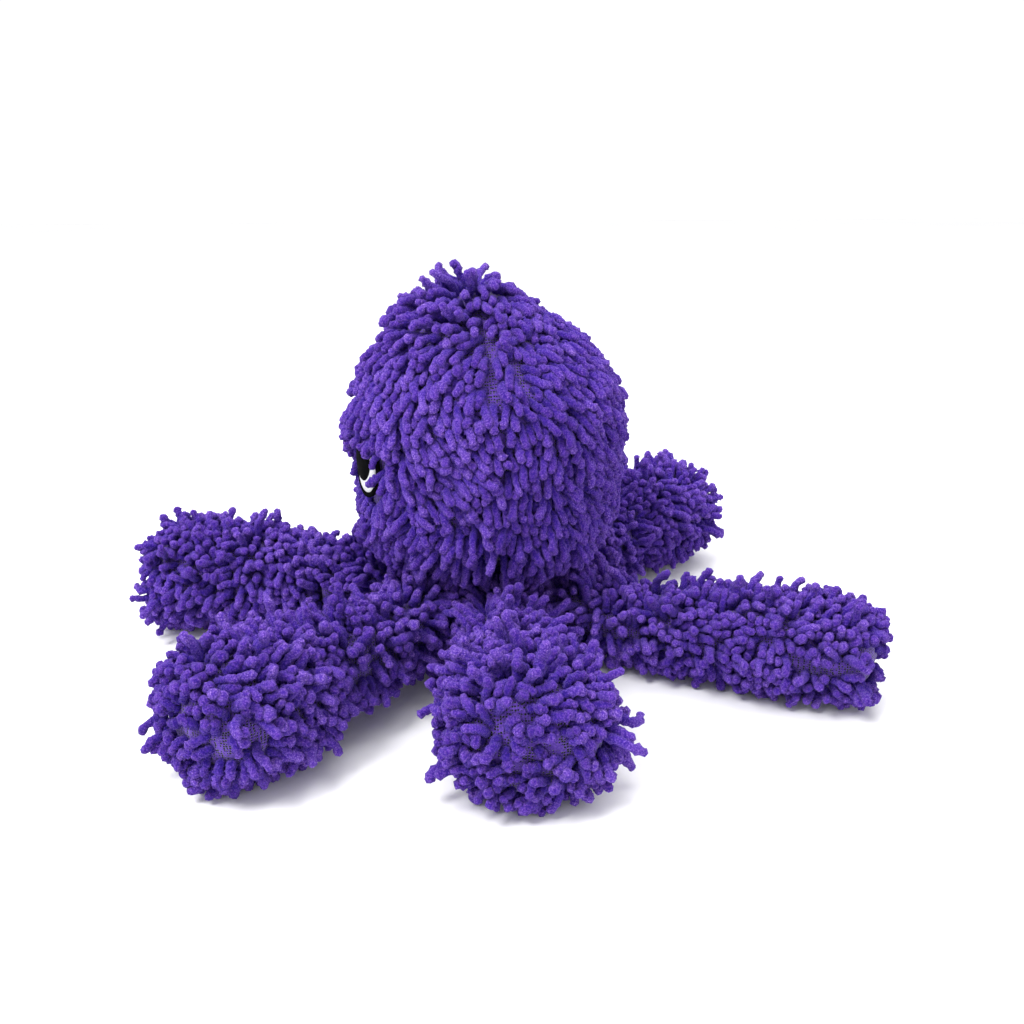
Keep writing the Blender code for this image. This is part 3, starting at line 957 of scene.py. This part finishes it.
def skin(shape, name, first, last, material, trim=0.002):
    """A closed stuffed form: the turned shape between two places along it."""
    along, radius, _, _ = shape.resampled(SKIN_STEP)
    keep = (along > first + trim) & (along < last - trim)
    keep[[0, -1]] = False
    along, radius = along[keep], radius[keep]
    angles = np.arange(SKIN_SEGMENTS) * 2 * math.pi / SKIN_SEGMENTS
    bm = bmesh.new()
    rings = []
    for here, wide in zip(along, radius):
        wide = max(wide, SKIN_THINNEST)
        points = shape.place(np.full(SKIN_SEGMENTS, here), np.full(SKIN_SEGMENTS, wide), angles)
        rings.append([bm.verts.new(point) for point in points])
    for ring, following in zip(rings, rings[1:]):
        for index in range(SKIN_SEGMENTS):
            after = (index + 1) % SKIN_SEGMENTS
            bm.faces.new([ring[index], ring[after], following[after], following[index]])
    poles = [max(first, along[0] - SKIN_BULGE), min(last, along[-1] + SKIN_BULGE)]
    for ring, here in zip((rings[0], rings[-1]), poles):
        pole = bm.verts.new(shape.place(np.array([here]), np.array([0.0]), np.array([0.0]))[0])
        for index in range(SKIN_SEGMENTS):
            bm.faces.new([ring[index], ring[(index + 1) % SKIN_SEGMENTS], pole])
    return finish_bmesh(name, bm, material)


# ---------------------------------------------------------------- studio


def camera():
    turn = math.radians(VIEW_AZIMUTH - 90.0)
    rise = math.radians(VIEW_ELEVATION)
    back = Vector((math.cos(rise) * math.cos(turn), math.cos(rise) * math.sin(turn), math.sin(rise)))
    right = Vector((-math.sin(turn), math.cos(turn), 0.0))
    target = right * AIM_RIGHT + Vector((0.0, 0.0, AIM_HEIGHT))
    data = bpy.data.cameras.new("camera")
    data.lens = VIEW_LENS
    data.clip_start = 0.01
    data.dof.use_dof = False
    thing = bpy.data.objects.new("camera", data)
    thing.location = target + back * VIEW_DISTANCE
    thing.rotation_euler = back.to_track_quat("Z", "Y").to_euler()
    bpy.context.scene.collection.objects.link(thing)
    bpy.context.scene.camera = thing


def area_light(name, place, aim, size, power):
    data = bpy.data.lights.new(name, "AREA")
    data.shape = "DISK"
    data.size = size
    data.energy = power
    thing = bpy.data.objects.new(name, data)
    thing.location = place
    thing.rotation_euler = (Vector(place) - Vector(aim)).to_track_quat("Z", "Y").to_euler()
    bpy.context.scene.collection.objects.link(thing)


def studio():
    bpy.ops.mesh.primitive_grid_add(x_subdivisions=24, y_subdivisions=24, size=8.0)
    floor = bpy.context.object
    floor.name = "studio_floor"
    floor.data.materials.append(floor_material())
    world = bpy.data.worlds.new("studio_world")
    bpy.context.scene.world = world
    world.use_nodes = True
    sky = world.node_tree.nodes["Background"]
    sky.inputs["Color"].default_value = (1.0, 1.0, 1.0, 1.0)
    sky.inputs["Strength"].default_value = SKY_STRENGTH
    for name, place, aim, size, watts in LIGHTS:
        area_light(name, place, aim, size, watts)
    bpy.context.scene.view_settings.view_transform = "Standard"


# ---------------------------------------------------------------- combing


def head_roots(head, arms, eyes):
    """Where noodles grow on the head: not inside the arms, on the seams, under the eyes or below."""
    points, normals, tangents, places = rows_on(head, ROW_SPACING)
    angle = np.mod(np.degrees(places[:, 1]), 360.0)
    keep = np.ones(len(points), bool)
    for arm in arms:
        keep &= (arm.push_out(points, ROOT_CLEAR) ** 2).sum(1) == 0
    around = np.hypot(points[:, 0], points[:, 1])
    seam = np.radians(np.abs(np.mod(angle + 45.0, 90.0) - 45.0)) * around
    keep &= (seam > SEAM_CLEAR) | (around < CROWN_CLOSED)
    for eye in eyes:
        across, up, out = eye.flat(points)
        keep &= ~((np.hypot(across, up) < eye.radius + EYE_BARE_EDGE) & (out > -EYE_NEAR_SIDE))
    keep &= places[:, 0] > HEAD_LOWEST_ROOT
    return [values[keep] for values in (points, normals, -tangents, places[:, 0], angle)]


def comb_eye(eye, points, comb, normals, stray):
    """Noodles part around an eye; most of those at its outer side are swept over it and made stray."""
    across, up, out = eye.flat(points)
    away = unit(across[:, None] * eye.level + up[:, None] * eye.up)
    gap = np.hypot(across, up) - eye.radius
    near = np.clip(1.0 - gap / EYE_COMB_WIDTH, 0.0, 1.0) * (out > -EYE_NEAR_SIDE)
    crossing = (near > CROSSING_NEAR) & (across * eye.side > CROSSING_OUTWARD) & (up > CROSSING_LOWEST)
    crossing &= RANDOM.random(len(points)) < CROSSING_SHARE
    stray |= crossing
    away = np.where(crossing[:, None], -CROSSING_SWEEP * eye.side * eye.level, EYE_PARTING * away)
    return along_surface(comb * (1 - EYE_COMB_LOSS * near)[:, None] + away * near[:, None], normals)


def head_pile(pile, head, arms, eyes):
    """Pile that hangs at the face, tangles at the sides, lies flat at the back and has a tuft on top."""
    points, normals, down, height, angle = head_roots(head, arms, eyes)
    count = len(points)
    share = height / head.top
    back = points[:, 1]
    mess = np.interp(back, *TANGLE)[:, None]
    stir = mess * (flow(points, HEAD_FLOW, 5) + RANDOM.normal(0.0, HEAD_STIR, (count, 3)))
    tuft = np.interp(share, *TUFT_HEIGHT) * np.interp(back, *TUFT_BACK)
    high = np.interp(share, *SWEEP_HEIGHT)
    swept = high * np.interp(back, *SWEEP)
    swept = swept - LOW_SWEEP * (1 - high) - TUFT_SWEEP * tuft
    comb = along_surface(down + stir + np.array([0.0, 1.0, 0.0]) * swept[:, None], normals)
    hang = np.interp(share, *HANG_HEIGHT)
    tilt = np.interp(share, *HEAD_TILT)
    tilt = tilt * (1 - tuft) + TUFT_TILT * tuft + RANDOM.normal(0.0, HEAD_TILT_SPREAD, count)
    stray = RANDOM.random(count) < HEAD_STRAYS
    for eye in eyes:
        comb = comb_eye(eye, points, comb, normals, stray)
    length = NOODLE_LENGTH * np.clip(RANDOM.normal(1.0, NOODLE_SPREAD, count), *HEAD_LENGTHS)
    length *= 1 + TUFT_LONGER * tuft + HANG_LONGER * hang
    gore = np.array(GORE_NAMES)[((angle + 90.0) // 90.0).astype(int) % 4]
    piece = np.char.add("pile_head_", gore)
    droop = HEAD_DROOP + HANG_DROOP * hang
    pile.add(piece, points, normals, comb, np.clip(tilt, *HEAD_TILTS), droop, length, stray)


def arm_pile(pile, arm, head):
    """Tousled pile, parted along the side seams, short and flat on the tip, with some long strays."""
    points, normals, _, places = rows_on(arm, ARM_ROW_SPACING)
    height = arm.matrix[2, 3]
    keep = (head.push_out(points, ROOT_CLEAR) ** 2).sum(1) == 0
    keep &= points[:, 2] > NOODLE_RADIUS
    parting = np.interp(places[:, 0], [arm.end - before for before in PARTING_WIDENS], ARM_PARTING)
    keep &= np.abs(points[:, 2] - height) > parting
    keep &= (normals @ arm.out < TIP_FACE) | (RANDOM.random(len(points)) > TIP_THINNING)
    points, normals, along = points[keep], normals[keep], places[keep, 0]
    count = len(points)
    stir = ARM_FLOW_PULL * flow(points, ARM_FLOW, 11) + RANDOM.normal(0.0, ARM_STIR, (count, 3))
    comb = along_surface(ARM_OUTWARD * arm.out + stir, normals)
    face = np.interp(normals @ arm.out, *TIP_TURN)
    low = points[:, 2] < height * UNDERSIDE
    tilt = np.clip(RANDOM.normal(*ARM_TILT, count) + TIP_FLATTER * face, *ARM_TILTS)
    length = ARM_NOODLE_LENGTH * np.clip(RANDOM.normal(1.0, NOODLE_SPREAD, count), *ARM_LENGTHS)
    loose = (RANDOM.random(count) < ARM_STRAYS) & (face < 0.5) & ~low
    tilt = np.where(loose, ARM_STRAY_TILT * tilt, tilt)
    length *= np.where(loose, ARM_STRAY_LONGER, 1.0) * (1 - TIP_SHORTER * face)
    root = np.interp(along - arm.root_reach, *ROOT_STRETCH)
    length *= 1 + ROOT_LONGER * root
    tilt = np.clip(tilt - ROOT_UPRIGHT * root * ~low, *ARM_TILTS_AT_ROOT)
    piece = np.where(along < arm.split, f"pile_arm_{arm.name}_inner", f"pile_arm_{arm.name}_outer")
    droop = np.full(count, ARM_DROOP)
    pile.add(piece, points, normals, comb, tilt, droop, length, np.zeros(count, bool))


# ---------------------------------------------------------------- building


def bend_arm(piece):
    """Bakes the piece's placement into its mesh."""
    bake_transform(piece)


def grow_pile(head, arms, eyes):
    """The noodles of every cover, settled together and shown piece by piece."""
    yarn = chenille()
    pile = Pile()
    head_pile(pile, head, arms, eyes)
    for arm in arms:
        arm_pile(pile, arm, head)
    data = pile.gather()
    count = len(data["root"])
    beads = settle(data, [head, *arms], eyes)
    patches = wander(data["root"], PATCH_SIZE, 3)
    shade = np.clip(0.5 + SHADE_SPREAD * RANDOM.normal(size=count) + PATCH_SPREAD * patches, 0, 1)

    for name in sorted(set(data["piece"])):
        chosen = data["piece"] == name
        piece = noodle_mesh(name, beads[chosen], data["length"][chosen], shade[chosen], yarn)
        if name.startswith("pile_head_"):
            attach(piece, "head")
            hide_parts("head_cover_" + name[len("pile_head_") :])
            continue
        arm = next(arm for arm in arms if arm.name in name)
        part = "inner" if name.endswith("inner") else "outer"
        bend_arm(piece)
        stem = f"arm_{arm.name}_{part}_"
        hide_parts(stem + "top", stem + "under")


def stuff_skins(head, arms, backing):
    """The knitted backing that shows between the noodles, filled out by the stuffing."""
    head_skin = skin(head, "skin_head", 0.0, 1.0, backing)
    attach(head_skin, "head")
    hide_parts("head_stuffing_left", "head_stuffing_right")
    for arm in arms:
        stretches = (("inner", 0.0, arm.split + SKIN_LAP), ("outer", arm.split - SKIN_LAP, 1.0))
        for part, first, last in stretches:
            piece = skin(arm, f"skin_arm_{arm.name}_{part}", first, last, backing)
            bend_arm(piece)
            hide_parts(f"arm_{arm.name}_{part}_stuffing")


def sew_eyes(eyes):
    """Each eye: a stitched border, a domed white and a pupil that sits high in it."""
    # The second colour of each thread is painted shade for the grooves between its stitches
    black = thread("black_thread", srgb(12, 12, 14), srgb(3, 3, 4))
    white = thread("white_thread", srgb(242, 242, 244), srgb(196, 196, 202))
    for eye in eyes:
        stem = f"eye_{eye.name}_"
        ring = stitched_ring(stem + "border", eye, eye.radius - BORDER_INSET, *BORDER_SIZE, black)
        radius, _ = disc_place(stem + "white")
        ball = disc(stem + "ball", eye, radius, WHITE_FORM, (0.0, 0.0), white)
        radius, centre = disc_place(stem + "pupil")
        across, up, _ = eye.flat(centre[None])
        iris = disc(stem + "iris", eye, radius, PUPIL_FORM, (across[0], up[0]), black)
        layers = ((ring, "outline", "black_thread"), (ball, "white", "white_thread"))
        for piece, node, slot in (*layers, (iris, "pupil", "black_thread")):
            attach(piece, "head")
            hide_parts(f"eye_{eye.name}_{node}")


def close_base(backing):
    """The flat panel that closes the head from below."""
    panel = skin(base_shape(), "skin_base_panel", ABOVE_BASE, 1.0, backing, trim=0.0)
    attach(panel, "head")
    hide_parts("base_panel")


def build():
    camera()
    studio()
    head = head_shape()
    arms = [arm_shape(name) for name in ARM_NAMES]
    eyes = [Eye(1), Eye(-1)]
    backing = netting()
    grow_pile(head, arms, eyes)
    stuff_skins(head, arms, backing)
    sew_eyes(eyes)
    close_base(backing)
    rubber = vinyl()
    for name in ("squeaker_bulb", "squeaker_reed"):
        node = frame["nodes"][name]
        node.data.materials.clear()
        node.data.materials.append(rubber)


build()
